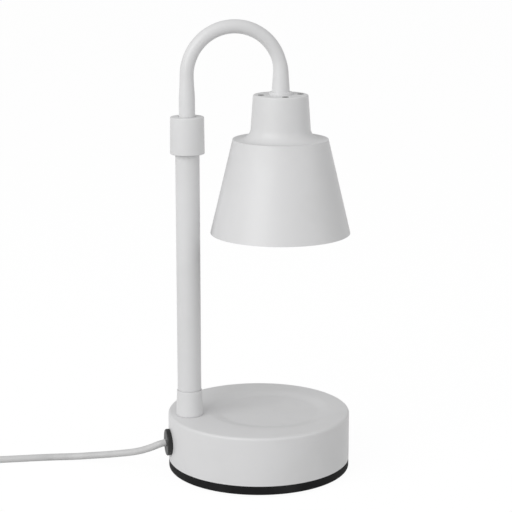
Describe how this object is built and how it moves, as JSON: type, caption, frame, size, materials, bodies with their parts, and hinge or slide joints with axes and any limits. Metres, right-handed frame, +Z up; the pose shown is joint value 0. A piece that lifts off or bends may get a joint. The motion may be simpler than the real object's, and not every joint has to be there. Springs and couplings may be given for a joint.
{
  "type": "candle warmer lamp",
  "caption": "Candle warmer lamp: weighted round base with a candle dish, column with locking collar, sliding and swivelling hooked arm, bell shade and corded dimmer.",
  "frame": {"origin": "on the table under the middle of the round base", "axes": "+Z up, +X from the column towards the shade, +Y to the far side with the cord's first bend"},
  "size_m": [0.4506, 0.1386, 0.3214],
  "materials": {
    "white_paint": "smooth white powder coat",
    "black_plastic": "fine matt black plastic",
    "black_rubber": "soft matt black",
    "iron": "rough cast",
    "steel": "zinc plated",
    "brass": "turned",
    "white_plastic": "fine satin",
    "wheel_plastic": "fine satin",
    "cord_jacket": "smooth soft jacket",
    "core_sleeve": "smooth sleeve",
    "ceramic": "glazed opaque ceramic",
    "reflector_glass": "metal-coated glass",
    "clear_glass": "clear glass",
    "board": "circuit board"
  },
  "bodies": {
    "base": {"base_shell": "white_paint", "base_tray": "black_plastic", "ballast_weight": "iron", "ballast_screws": "steel", "base_screws": "steel", "rubber_feet": "black_rubber", "cord_grommet": "black_rubber", "cord_clamp": "white_plastic", "clamp_screws": "steel", "inner_cord": "cord_jacket", "terminal_block": "white_plastic", "mains_cores": "core_sleeve", "riser_leads": "core_sleeve", "column_tube": "white_paint", "column_ferrule": "white_paint", "column_plug": "brass", "column_nipple": "brass", "column_washer": "steel", "column_nut": "steel", "column_leads": "core_sleeve", "guide_bush": "white_plastic", "collet": "white_plastic", "lamp_cord": "cord_jacket", "dimmer_base": "white_plastic", "dimmer_cover": "white_plastic", "dimmer_board": "board", "dimmer_screws": "steel", "dimmer_reliefs": "cord_jacket", "supply_cord": "cord_jacket", "supply_coil": "cord_jacket", "plug_relief": "cord_jacket", "plug_body": "white_plastic", "plug_blades": "brass"},
    "lock_collar": {"lock_collar": "white_paint"},
    "stop": {"stop_bush": "white_plastic"},
    "hook": {"hook_tube": "white_paint", "leg_rings": "steel", "hook_leads": "core_sleeve", "shade_ring": "white_paint", "shade_nipple": "brass", "shade_nut": "brass", "shade_shell": "white_paint", "holder_bracket": "steel", "holder_screws": "steel", "lampholder": "ceramic"},
    "lamp": {"lamp_cap": "ceramic", "lamp_pins": "steel", "lamp_reflector": "reflector_glass", "lamp_burner": "clear_glass", "lamp_lens": "clear_glass"},
    "dimmer_wheel": {"dimmer_wheel": "wheel_plastic"}
  },
  "joints": [
    {"name": "height_slide", "type": "slide", "parent": "base", "child": "stop", "axis": [0, 0, 1], "range_m": [-0.01, 0.05], "deforming": ["column_leads"]},
    {"name": "hook_swivel", "type": "hinge", "parent": "stop", "child": "hook", "pos_m": [-0.0505, 0, 0.2], "axis": [0, 0, 1], "range_deg": [-90, 90]},
    {"name": "collar_turn", "type": "hinge", "parent": "base", "child": "lock_collar", "pos_m": [-0.0505, 0, 0.24], "axis": [0, 0, 1], "range_deg": [0, 120]},
    {"name": "lamp_twist", "type": "hinge", "parent": "hook", "child": "lamp", "pos_m": [0.0155, 0, 0.22], "axis": [0, 0, 1], "range_deg": [-30, 0]},
    {"name": "dimmer_turn", "type": "hinge", "parent": "base", "child": "dimmer_wheel", "pos_m": [-0.307, 0.0626, 0.012], "axis": [0, 0, 1], "range_deg": [0, 270]}
  ]
}
